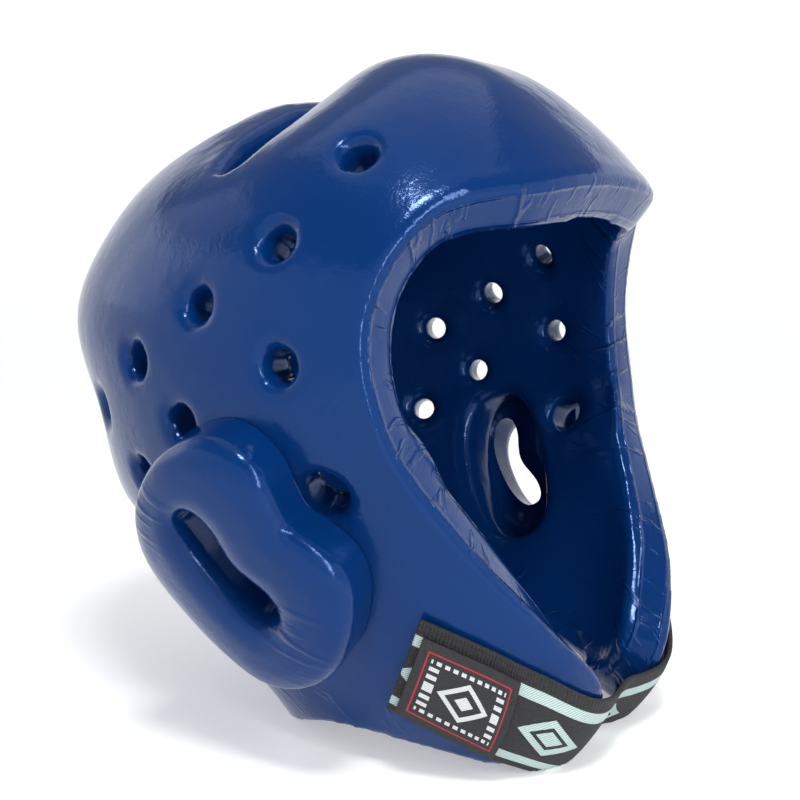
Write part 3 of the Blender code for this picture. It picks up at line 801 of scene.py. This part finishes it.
def strap_point(way, down, stand_off=0.0):
    """Row-frame points of the strap's middle surface: way along it from its right end, down across it."""
    row = smooth(way, STRAP_ROUTE[:, 0], STRAP_ROUTE[:, 1:])
    top, low = direction(row[:, 1], row[:, 0]), direction(row[:, 3], row[:, 2])
    fine = np.linspace(0, LOW_LINE_REACH, ACROSS_SAMPLES)
    towards = unit(top[:, None] * (1 - fine[:, None]) + low[:, None] * fine[:, None])
    distance = surface_distance(towards) * (1 - row[:, 4])[:, None]
    line = to_row(towards * (distance + STRAP_CLEARANCE + STRAP_THICK / 2 + stand_off)[..., None])
    line[..., 2] = np.maximum(line[..., 2], STRAP_THICK / 2)
    steps = np.linalg.norm(np.diff(line, axis=1), axis=-1)
    run = np.concatenate([np.zeros((len(line), 1)), np.cumsum(steps, axis=1)], axis=1)
    points = []
    for share, run_down, line_down in zip(down, run, line):
        points.append([np.interp(share * STRAP_WIDTH, run_down, line_down[:, i]) for i in range(3)])
    return np.array(points)


middle_line = strap_point(np.linspace(0, 1, LENGTH_SAMPLES), np.full(LENGTH_SAMPLES, 0.5))
STRAP_LENGTH = np.linalg.norm(np.diff(middle_line, axis=0), axis=1).sum()
print(f"strap {STRAP_LENGTH * 1000:.0f} mm along its middle")

# %% [markdown]
# The strap, the label and the patch are the same bent grid with a thickness. The label and the patch lie
# on the strap, so they follow its route a little further out, over a part of its way and its width.

# %% Woven bands
LABEL_START, LABEL_END, PATCH_LENGTH = 0.0025, 0.045, 0.040
LABEL_THICK = 0.0012
LABEL_DOWN = (0.11, 0.95)
SEWN_ON = STRAP_THICK / 2 + LAYER_GAP + LABEL_THICK / 2
EDGE_SHARE, EDGE_ANGLE = 0.3, 50.0


def band(name, span, down, thick, stand_off, columns, rows):
    """A woven band over a span of the strap's way and a part of its width."""
    cloth_size = (STRAP_LENGTH * (span[1] - span[0]), STRAP_WIDTH * (down[1] - down[0]))

    def place(along, across):
        way = span[0] + across * (span[1] - span[0])
        return strap_point(way, down[0] + along * (down[1] - down[0]), stand_off)

    bm = bent_grid(columns, rows, place, cloth_size)
    bm.normal_update()
    outward = sum(face.normal.dot(face.calc_center_median() - Vector(HEAD_CENTRE)) for face in bm.faces)
    if outward < 0:
        bmesh.ops.reverse_faces(bm, faces=bm.faces)
    piece = new_piece(name, bm)
    cloth = piece.modifiers.new("woven thickness", "SOLIDIFY")
    cloth.thickness = thick
    cloth.offset = 0
    edge = piece.modifiers.new("soft edge", "BEVEL")
    edge.width = thick * EDGE_SHARE
    edge.segments = 2
    edge.limit_method = "ANGLE"
    edge.angle_limit = math.radians(EDGE_ANGLE)
    return applied(piece)


label_span = (LABEL_START / STRAP_LENGTH, LABEL_END / STRAP_LENGTH)
patch_span = (1 - PATCH_LENGTH / STRAP_LENGTH, 1)
strap = band("chin_strap_webbing", (0, 1), (0, 1), STRAP_THICK, 0, 220, 24)
label = band("woven_label_cloth", label_span, LABEL_DOWN, LABEL_THICK, SEWN_ON, 48, 40)
patch = band("end_patch_cloth", patch_span, LABEL_DOWN, LABEL_THICK, SEWN_ON, 48, 40)
print("strap, label and patch made")

# %% [markdown]
# Shader maths reads better as Python. A small class wraps a socket and overloads the operators, and one
# method of a material maker adds any other node.

# %% Shader helpers
class Value:
    """A node socket that understands + - * / and powers."""

    def __init__(self, maker, socket):
        self.maker, self.socket = maker, socket

    def _math(self, operation, a, b=0.0):
        return self.maker.node("ShaderNodeMath", {"operation": operation}, {0: a, 1: b})

    def __add__(self, other):
        return self._math("ADD", self, other)

    def __radd__(self, other):
        return self._math("ADD", other, self)

    def __sub__(self, other):
        return self._math("SUBTRACT", self, other)

    def __rsub__(self, other):
        return self._math("SUBTRACT", other, self)

    def __mul__(self, other):
        return self._math("MULTIPLY", self, other)

    def __rmul__(self, other):
        return self._math("MULTIPLY", other, self)

    def __truediv__(self, other):
        return self._math("DIVIDE", self, other)

    def __pow__(self, other):
        return self._math("POWER", self, other)

    def below(self, limit):
        """1 where the value is less than the limit, else 0."""
        return self._math("LESS_THAN", self, limit)

    def between(self, low, high):
        """1 where the value lies between the two, else 0."""
        return self._math("GREATER_THAN", self, low) * self.below(high)

    def floor_at(self, limit):
        return self._math("MAXIMUM", self, limit)

    def cap_at(self, limit):
        return self._math("MINIMUM", self, limit)

    def bell(self, middle, width):
        """1 at the middle, falling softly to nothing a few widths away."""
        return (1 + ((self - middle) / width) ** 2.0) ** -2.0

    def size(self):
        return self._math("ABSOLUTE", self)

    def fraction(self):
        return self._math("FRACT", self)

    def wave(self):
        return self._math("SINE", self)


class Finish:
    """A material being made. node() adds any node: its type, its settings, then its sockets."""

    def __init__(self, name):
        self.material = bpy.data.materials.new(name)
        self.material.use_nodes = True
        self.tree = self.material.node_tree
        self.shader = self.tree.nodes["Principled BSDF"]

    def node(self, kind, settings=None, sockets=None, out=0):
        made = self.tree.nodes.new(kind)
        for key, value in (settings or {}).items():
            setattr(made, key, value)
        for key, value in (sockets or {}).items():
            self.feed(made.inputs[key], value)
        return Value(self, made.outputs[out])

    def feed(self, socket, value):
        """Link a value to a socket, or set a constant on it."""
        if isinstance(value, Value):
            self.tree.links.new(value.socket, socket)
        else:
            socket.default_value = value

    def set(self, **values):
        """Feed the sockets of the surface shader by name."""
        for name, value in values.items():
            self.feed(self.shader.inputs[name.replace("_", " ")], value)

    def mix(self, share, first, second):
        return self.node("ShaderNodeMix", {"data_type": "RGBA"}, {0: share, 6: first, 7: second}, out=2)

    def noise(self, where, scale, detail=2.0):
        return self.node("ShaderNodeTexNoise", {}, {"Vector": where, "Scale": scale, "Detail": detail})

    def bump(self, height, distance, strength=1.0, normal=None):
        sockets = {"Height": height, "Distance": distance, "Strength": strength}
        if normal is not None:
            sockets["Normal"] = normal
        return self.node("ShaderNodeBump", {}, sockets)

    def place(self):
        """Object coordinates."""
        return self.node("ShaderNodeTexCoord", out=3)

    def joined(self, x, y, z):
        return self.node("ShaderNodeCombineXYZ", {}, {0: x, 1: y, 2: z})

    def uv(self, name):
        """The two values of a UV map."""
        where = self.node("ShaderNodeUVMap", {"uv_map": name})
        first = self.node("ShaderNodeSeparateXYZ", {}, {0: where})
        return first, Value(self, first.socket.node.outputs[1])

    def towards(self, where, axis):
        """How far a place lies along an axis."""
        settings = {"operation": "DOT_PRODUCT"}
        return self.node("ShaderNodeVectorMath", settings, {0: where, 1: tuple(axis)}, out=1)

    def apart(self, where, centre):
        """How far a place lies from a centre."""
        settings = {"operation": "DISTANCE"}
        return self.node("ShaderNodeVectorMath", settings, {0: where, 1: tuple(centre)}, out=1)


# %% [markdown]
# The skin gathers beside the rim, where the foam's edge was pressed. A fold is a height in metres that
# bumps the surface: creases along both shoulders, short pinches across the rim's face, and a few longer
# folds at the brow and the cheek. They read the rim's UV maps, so they follow it all round.

# %% Folds at the rim
CREASE_WIDTH, CREASE_HEIGHT, CREASE_REACH = 0.0008, 0.00045, 0.0045
WANDER, WANDER_SCALE = 0.0012, 130.0
DRIFT, DRIFT_SCALE, DRIFT_SLANT = 0.010, 70.0, 0.7
PINCH_ACROSS, PINCH_DOWN, PINCH_START = 190.0, 45.0, 0.58
PINCH_FADE, PINCH_HEIGHT = 0.026, 0.0040
LONG_FOLDS = (
    # side, place among the rim's rows, width, height
    (1, 1.75, 0.0022, 0.0016),
    (1, 3.40, 0.0012, 0.0008),
    (1, 4.30, 0.0012, 0.0007),
    (-1, 1.20, 0.0014, 0.0009),
    (-1, 2.20, 0.0012, 0.0006),
)


def rim_folds(finish, where):
    """Creases beside the rim's flat face, short pinches across it and a few longer folds."""
    along, depth = finish.uv("rim")
    inset, _ = finish.uv("rim inset")
    wander = (finish.noise(where, WANDER_SCALE) - 0.5) * WANDER
    creases = (depth + wander).bell(OUTER_SHOULDER, CREASE_WIDTH)
    creases = creases + (depth + wander).bell(FOAM - INNER_SHOULDER, CREASE_WIDTH)
    at_face = inset.below(CREASE_REACH)
    drift = along + DRIFT_SLANT * inset + finish.noise(where, DRIFT_SCALE, 1.0) * DRIFT
    streaks = finish.joined(drift * PINCH_ACROSS, depth * PINCH_DOWN, inset * PINCH_DOWN)
    pinch = (finish.noise(streaks, 1.0) - PINCH_START).floor_at(0)
    near = (1 - inset / PINCH_FADE).floor_at(0)
    below_skin = (depth / OUTER_SHOULDER).floor_at(0).cap_at(1)
    height = creases * at_face * CREASE_HEIGHT + pinch * near * below_skin * PINCH_HEIGHT
    for side, row, width, high in LONG_FOLDS:
        place = side * left_run[int(np.interp(row, np.arange(len(RIM)), RIM_ROWS))]
        height = height + (along + wander).bell(place, width) * near * below_skin * high
    return height


print(len(LONG_FOLDS), "long folds at the rim")

# %% [markdown]
# A pad is bent over the ear, so its skin wrinkles at both ends of the slot. The wrinkles are streaks of
# noise, long one way and short the other, that fade away from two places in the pad's plan.

# %% Folds on the pads
WRINKLE_SLANT = math.radians(38.0)
WRINKLE_PLACES = np.array([(0.022, 0.028), (-0.020, -0.026)])
WRINKLE_ALONG, WRINKLE_ACROSS, WRINKLE_START = 26.0, 240.0, 0.52
WRINKLE_FADE, WRINKLE_HEIGHT = 0.013, 0.0032


def pad_folds(side):
    """Wrinkles at the ends of a pad's slot, all along one line of the pad's plan."""
    _, backwards, upwards, _ = pad_axes(side)
    level, rise = math.cos(WRINKLE_SLANT), math.sin(WRINKLE_SLANT)
    run = to_row(backwards * level + upwards * rise) - HEAD_CENTRE
    cross = to_row(upwards * level - backwards * rise) - HEAD_CENTRE
    first, second = to_row(on_pad(side, WRINKLE_PLACES, PAD_RISE))

    def folds(finish, where):
        along = finish.towards(where, run) * WRINKLE_ALONG
        across = finish.towards(where, cross) * WRINKLE_ACROSS
        pinch = (finish.noise(finish.joined(along, across, 0.0), 1.0, 1.0) - WRINKLE_START).floor_at(0)
        near = finish.apart(where, first).bell(0.0, WRINKLE_FADE)
        near = near + finish.apart(where, second).bell(0.0, WRINKLE_FADE)
        return pinch * near * WRINKLE_HEIGHT

    return folds


print(len(WRINKLE_PLACES), "places of wrinkles on each pad")

# %% [markdown]
# Dipped vinyl is a saturated blue with a clear gloss. The skin has a fine orange peel about a millimetre
# across and slower swells where the dip ran. Its reflections are tinted blue, because the pigment lies
# right under the gloss. The shell and the pads share this finish and differ only in their folds.

# %% Blue vinyl
BLUE = (0.0008, 0.027, 0.130, 1.0)
DEEP_BLUE = (0.0006, 0.019, 0.100, 1.0)
GLOSS_TINT = (0.34, 0.52, 1.0, 1.0)
GLOSS, GLOSS_CHANGE = 0.10, 0.07
CLOUD_SCALE, PEEL_SCALE, SWELL_SCALE = 18.0, 900.0, 95.0
PEEL_HEIGHT, PEEL_STRENGTH = 0.00011, 0.6
SWELL_HEIGHT, SWELL_STRENGTH = 0.0006, 0.5


def blue_vinyl(name, folds):
    finish = Finish(name)
    where = finish.place()
    cloudy = finish.noise(where, CLOUD_SCALE, 3.0)
    peel = finish.bump(finish.noise(where, PEEL_SCALE), PEEL_HEIGHT, PEEL_STRENGTH)
    skin = finish.bump(finish.noise(where, SWELL_SCALE), SWELL_HEIGHT, SWELL_STRENGTH, peel)
    finish.set(
        Base_Color=finish.mix(cloudy, DEEP_BLUE, BLUE),
        Roughness=GLOSS + GLOSS_CHANGE * cloudy,
        Normal=finish.bump(folds(finish, where), 1.0, 1.0, skin),
        IOR=1.5,
        Specular_IOR_Level=0.5,
        Specular_Tint=GLOSS_TINT,
    )
    return finish.material


shell_vinyl = blue_vinyl("dipped_blue_vinyl", rim_folds)
pad_vinyl_right = blue_vinyl("pad_vinyl_right", pad_folds(-1))
pad_vinyl_left = blue_vinyl("pad_vinyl_left", pad_folds(1))
print("vinyl for the shell and both pads")

# %% [markdown]
# The strap is ribbed elastic, black with a pale mint stripe near each edge and plain mint diamonds woven
# between them. Its upper edge has two braided ridges. Stripes and diamonds are sums of plain conditions
# on the strap's own two measures, so they bend with it and need no picture.

# %% Webbing
BLACK_THREAD, WORN_THREAD = (0.006, 0.006, 0.007, 1.0), (0.030, 0.030, 0.032, 1.0)
MINT = (0.56, 0.72, 0.69, 1.0)
UPPER_STRIPE, LOWER_STRIPE = (0.0055, 0.0100), (0.0335, 0.0375)
DIAMOND_PITCH, DIAMOND_LONG, DIAMOND_TALL = 0.052, 0.013, 0.0085
DIAMOND_START, DIAMOND_MIDDLE = 0.063, 0.0218
DIAMOND_GAP = (0.42, 0.62)
TWILL_PITCH, TWILL_HEIGHT, THREAD_HEIGHT = 0.0011, 0.00008, 0.0002
RIDGES, RIDGE_WIDTH, RIDGE_HEIGHT, BRAID_PITCH = (0.0013, 0.0040), 0.0011, 0.0003, 0.0015


def webbing(name):
    finish = Finish(name)
    along, across = finish.uv("weave")
    twill = ((along + across) * (math.tau / TWILL_PITCH)).wave()
    stripe = across.between(*UPPER_STRIPE) + across.between(*LOWER_STRIPE)
    out = ((along - DIAMOND_START) / DIAMOND_PITCH + 0.5).fraction() - 0.5
    far = out.size() * (DIAMOND_PITCH / DIAMOND_LONG) + (across - DIAMOND_MIDDLE).size() / DIAMOND_TALL
    diamond = far.below(1.0) - far.between(*DIAMOND_GAP)
    pattern = (stripe + diamond).cap_at(1) * (0.80 + 0.20 * twill)
    grain = finish.noise(finish.place(), 700.0, 3.0)
    ridges = across.bell(RIDGES[0], RIDGE_WIDTH) + across.bell(RIDGES[1], RIDGE_WIDTH)
    braid = ridges * (along * (math.tau / BRAID_PITCH)).wave()
    height = twill * TWILL_HEIGHT + braid * RIDGE_HEIGHT + pattern * THREAD_HEIGHT
    finish.set(
        Base_Color=finish.mix(pattern, finish.mix(grain, BLACK_THREAD, WORN_THREAD), MINT),
        Roughness=0.78 + 0.1 * grain,
        Normal=finish.bump(height, 1.0),
    )
    return finish.material


strap_finish = webbing("ribbed_elastic")
print("diamonds on the strap every", round(DIAMOND_PITCH * 1000), "mm")

# %% [markdown]
# The label is a black woven patch with a thin red line inside its edge. On it is a plain pattern in white
# thread: a diamond in a diamond, bars at its sides and rows of dashes above and below. The patch at the
# other end of the strap is the same cloth with nothing on it.

# %% Label cloth
LABEL_RED, LABEL_WHITE = (0.42, 0.012, 0.030, 1.0), (0.70, 0.73, 0.74, 1.0)
LABEL_LENGTH = LABEL_END - LABEL_START
LABEL_WIDTH = STRAP_WIDTH * (LABEL_DOWN[1] - LABEL_DOWN[0])
LABEL_BORDER, BORDER_LINE = 0.0034, 0.0006
HALF_LONG, HALF_TALL = 0.0105, 0.0082
DIAMOND_FRAME, DIAMOND_HEART = (0.72, 1.0), 0.36
BARS, BAR_PITCH, BAR_SHARE, BAR_REACH = (0.0120, 0.0158), 0.0034, 0.55, 0.0085
DASHES, DASH_PITCH, DASH_SHARE, DASH_REACH = (0.0098, 0.0114), 0.0032, 0.6, 0.0158
RIB_PITCH, RIB_HEIGHT, GRAIN_HEIGHT = 0.0007, 0.00005, 0.00008


def white_thread(x, y):
    """1 where the label has white thread. x and y are measured from its middle."""
    aside, above = x.size(), y.size()
    far = aside / HALF_LONG + above / HALF_TALL
    diamonds = far.between(*DIAMOND_FRAME) + far.below(DIAMOND_HEART)
    bars = aside.between(*BARS) * (above / BAR_PITCH).fraction().below(BAR_SHARE) * above.below(BAR_REACH)
    gaps = (x / DASH_PITCH + 0.3).fraction().below(DASH_SHARE)
    dashes = above.between(*DASHES) * gaps * aside.below(DASH_REACH)
    return (diamonds + bars + dashes).cap_at(1)


def red_line(x, y):
    """1 on the thin line inside the label's edge."""
    aside, above = x.size(), y.size()
    right, top = LABEL_LENGTH / 2 - LABEL_BORDER, LABEL_WIDTH / 2 - LABEL_BORDER
    inside = aside.below(right - BORDER_LINE) * above.below(top - BORDER_LINE)
    return aside.below(right) * above.below(top) - inside


def label_cloth(name, patterned):
    finish = Finish(name)
    along, across = finish.uv("weave")
    x, y = along - LABEL_LENGTH / 2, across - LABEL_WIDTH / 2
    ribs = (across * (math.tau / RIB_PITCH)).wave()
    grain = finish.noise(finish.place(), 900.0, 3.0)
    cloth = finish.mix(grain, BLACK_THREAD, WORN_THREAD)
    if patterned:
        white = white_thread(x, y)
        lined = finish.mix(red_line(x, y), cloth, LABEL_RED)
        cloth = finish.mix(white * (0.84 + 0.16 * ribs), lined, LABEL_WHITE)
        ribs = ribs + 3.0 * white
    finish.set(
        Base_Color=cloth,
        Roughness=0.70 + 0.1 * grain,
        Normal=finish.bump(ribs * RIB_HEIGHT + grain * GRAIN_HEIGHT, 1.0),
    )
    return finish.material


label_finish = label_cloth("woven_label", True)
patch_finish = label_cloth("plain_patch", False)
print(f"label {LABEL_LENGTH * 1000:.0f} x {LABEL_WIDTH * 1000:.0f} mm")

# %% [markdown]
# Each piece takes its finish, stands for its solid, and rides on the one body. The foam pieces are fuller
# and softer than their solids.

# %% Dress the solids
for piece, node, finish, slot in (
    (shell, "foam_shell", shell_vinyl, "blue_vinyl"),
    (pad_right, "ear_pad_right", pad_vinyl_right, "blue_vinyl"),
    (pad_left, "ear_pad_left", pad_vinyl_left, "blue_vinyl"),
    (strap, "chin_strap", strap_finish, "black_webbing"),
    (label, "woven_label", label_finish, "black_label"),
    (patch, "end_patch", patch_finish, "black_label"),
):
    piece.data.materials.clear()
    piece.data.materials.append(finish)
    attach(piece, "root")
    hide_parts(node)
    print(piece.name, "stands for", node)

# %% [markdown]
# The studio is a pale floor that curves up into a low wall all round, so every view has the same plain
# ground. It glows a little of itself, so that it stays nearly white without strong lamps, which would
# wash out the gloss.

# %% Floor and wall
FLOOR_RADIUS, WALL_CURVE, WALL_TOP = 2.2, 0.6, 1.3
GROUND_STEPS = 96
PALE_GREY, WHITE = (0.84, 0.84, 0.845, 1.0), (1.0, 1.0, 1.0, 1.0)
GROUND_GLOW = 0.34
flat = FLOOR_RADIUS - WALL_CURVE
profile = [(0.0, 0.0), (flat, 0.0)]
for angle in np.linspace(0.2, math.pi / 2, 8):
    profile.append((flat + WALL_CURVE * math.sin(angle), WALL_CURVE * (1 - math.cos(angle))))
profile.append((FLOOR_RADIUS, WALL_TOP))
ground = new_piece("studio_ground", spun(profile, GROUND_STEPS))
pale = Finish("pale_ground")
pale.set(Base_Color=PALE_GREY, Roughness=0.8, Specular_IOR_Level=0.1)
pale.set(Emission_Color=WHITE, Emission_Strength=GROUND_GLOW)
ground.data.materials.append(pale.material)
print(f"ground {2 * FLOOR_RADIUS:.1f} m across")

# %% [markdown]
# Gloss is seen by what it mirrors, so the lamps are boxes with clear edges: a large dim one overhead and
# one behind for the outline, a small key above the right temple, and a tall narrow strip in front for
# the long streaks on the cheek and the pad. A dim, slightly blue surround fills the rest.

# %% Lights
LIGHTS = (
    # name, place, size, watts
    ("overhead", (0.2, 0.2, 2.0), (2.0, 2.0), 6.0),
    ("back_box", (-0.35, 1.35, 0.75), (0.7, 0.9), 0.9),
    ("key", (-0.53, -0.44, 1.22), (0.26, 0.22), 8.5),
    ("front_strip", (-0.51, -1.09, 0.65), (0.13, 1.0), 7.0),
)
LIGHTS_AIM = Vector((0.0, 0.0, 0.12))
SURROUND, SURROUND_STRENGTH = (0.90, 0.94, 1.0, 1.0), 0.30
for name, place, size, watts in LIGHTS:
    data = bpy.data.lights.new(name, "AREA")
    data.shape = "RECTANGLE"
    data.size, data.size_y = size
    data.energy = watts
    lamp = bpy.data.objects.new(name, data)
    lamp.location = place
    lamp.rotation_euler = (LIGHTS_AIM - Vector(place)).to_track_quat("-Z", "Y").to_euler()
    lamp.visible_camera = False
    scene.collection.objects.link(lamp)
world = bpy.data.worlds.new("studio")
scene.world = world
world.use_nodes = True
world.node_tree.nodes["Background"].inputs["Color"].default_value = SURROUND
world.node_tree.nodes["Background"].inputs["Strength"].default_value = SURROUND_STRENGTH
scene.view_settings.view_transform = "Standard"
print(len(LIGHTS), "lights")

# %% [markdown]
# The camera stands where the photographer stood, measured from the middle of the head: ahead of the
# wearer's right ear, a little above it, half a metre away.

# %% Camera
VIEW_AZIMUTH, VIEW_ELEVATION, VIEW_ROLL = math.radians(-56.8), math.radians(7.5), math.radians(0.5)
VIEW_DISTANCE = 0.4948
AIM_RIGHT, AIM_UP = -0.0101, 0.0083
FOCAL_SHARE = 1.557
level = math.cos(VIEW_ELEVATION)
back = np.array((math.sin(VIEW_AZIMUTH) * level, -math.cos(VIEW_AZIMUTH) * level, math.sin(VIEW_ELEVATION)))
right = np.array((math.cos(VIEW_AZIMUTH), math.sin(VIEW_AZIMUTH), 0.0))
above = np.cross(back, right)
camera_data = bpy.data.cameras.new("camera")
camera_data.sensor_width = 36.0
camera_data.lens = FOCAL_SHARE * camera_data.sensor_width
camera = bpy.data.objects.new("camera", camera_data)
scene.collection.objects.link(camera)
camera.location = HEAD_CENTRE + right * AIM_RIGHT + above * AIM_UP + back * VIEW_DISTANCE
facing = Matrix(np.stack([right, above, back], 1).tolist()).to_4x4() @ Matrix.Rotation(VIEW_ROLL, 4, "Z")
camera.rotation_euler = facing.to_euler()
scene.camera = camera
print(f"camera {camera_data.lens:.0f} mm lens, {VIEW_DISTANCE * 1000:.0f} mm from the middle of the head")
